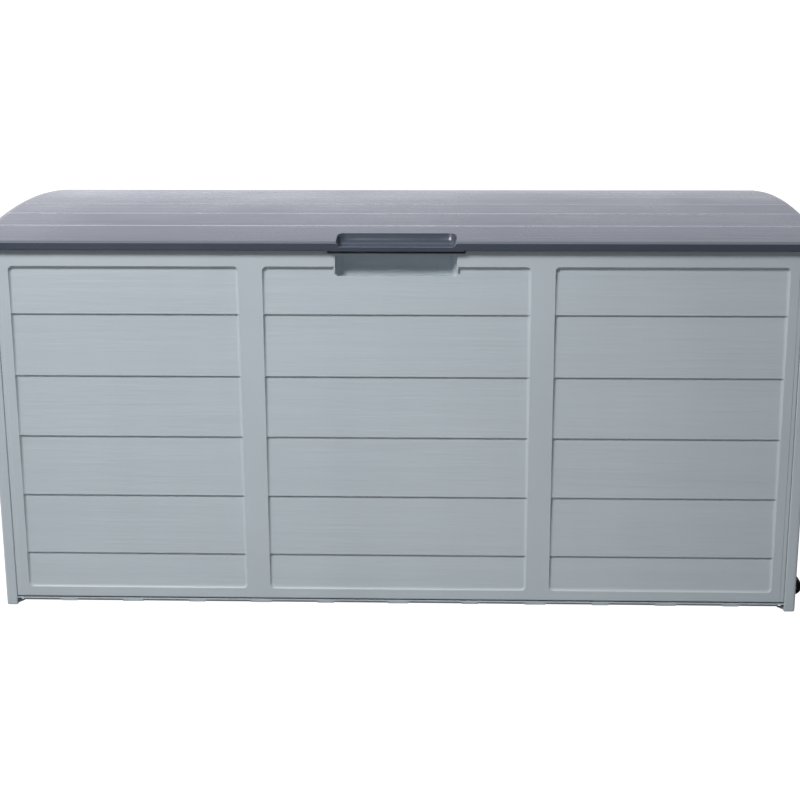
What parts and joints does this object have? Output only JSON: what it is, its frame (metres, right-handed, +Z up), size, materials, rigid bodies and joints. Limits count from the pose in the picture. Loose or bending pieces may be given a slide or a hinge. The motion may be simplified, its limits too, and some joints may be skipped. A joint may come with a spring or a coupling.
{
  "type": "deck storage box",
  "caption": "Long rectangular outdoor storage box with grey clapboard panels on short legs, a dark arched planked lid hinged at the back, finger grips and small wheels at one end.",
  "frame": {"origin": "on the ground under the middle of the lid", "axes": "+X to the right along the front, seen from the front; +Y from the front to the hinged back; +Z up"},
  "size_m": [1.1314, 0.49, 0.537],
  "materials": {
    "body_plastic": "satin light blue-grey moulded plastic with a fine wood grain",
    "lid_plastic": "satin dark slate moulded plastic with wood-grain planks",
    "wheel_plastic": "satin black moulded plastic",
    "steel": "zinc-plated steel"
  },
  "bodies": {
    "box": {"front_panel": "body_plastic", "back_panel": "body_plastic", "left_end_panel": "body_plastic", "right_end_panel": "body_plastic", "floor_panel": "body_plastic", "left_hinge_bracket": "body_plastic", "middle_hinge_bracket": "body_plastic", "right_hinge_bracket": "body_plastic", "left_hinge_pin": "steel", "middle_hinge_pin": "steel", "right_hinge_pin": "steel", "left_hinge_wall_screw_1": "steel", "left_hinge_wall_screw_2": "steel", "middle_hinge_wall_screw_1": "steel", "middle_hinge_wall_screw_2": "steel", "right_hinge_wall_screw_1": "steel", "right_hinge_wall_screw_2": "steel", "front_left_corner_screw_1": "steel", "front_left_corner_screw_2": "steel", "front_left_corner_screw_3": "steel", "back_left_corner_screw_1": "steel", "back_left_corner_screw_2": "steel", "back_left_corner_screw_3": "steel", "front_right_corner_screw_1": "steel", "front_right_corner_screw_2": "steel", "front_right_corner_screw_3": "steel", "back_right_corner_screw_1": "steel", "back_right_corner_screw_2": "steel", "back_right_corner_screw_3": "steel", "front_floor_screw_1": "steel", "front_floor_screw_2": "steel", "front_floor_screw_3": "steel", "front_floor_screw_4": "steel", "back_floor_screw_1": "steel", "back_floor_screw_2": "steel", "back_floor_screw_3": "steel", "back_floor_screw_4": "steel", "front_axle": "steel", "rear_axle": "steel", "front_axle_clip": "wheel_plastic", "rear_axle_clip": "wheel_plastic"},
    "lid": {"lid": "lid_plastic", "left_hinge_leaf": "lid_plastic", "middle_hinge_leaf": "lid_plastic", "right_hinge_leaf": "lid_plastic", "left_hinge_lid_screw_1": "steel", "left_hinge_lid_screw_2": "steel", "middle_hinge_lid_screw_1": "steel", "middle_hinge_lid_screw_2": "steel", "right_hinge_lid_screw_1": "steel", "right_hinge_lid_screw_2": "steel"},
    "front_wheel": {"front_wheel": "wheel_plastic"},
    "rear_wheel": {"rear_wheel": "wheel_plastic"}
  },
  "joints": [
    {"name": "lid_hinge", "type": "hinge", "parent": "box", "child": "lid", "pos_m": [0, 0.2413, 0.5045], "axis": [-1, 0, 0], "range_deg": [0, 100]},
    {"name": "front_wheel_spin", "type": "hinge", "parent": "box", "child": "front_wheel", "pos_m": [0.559, -0.18, 0.018], "axis": [0, 1, 0], "continuous": true},
    {"name": "rear_wheel_spin", "type": "hinge", "parent": "box", "child": "rear_wheel", "pos_m": [0.559, 0.18, 0.018], "axis": [0, 1, 0], "continuous": true}
  ]
}
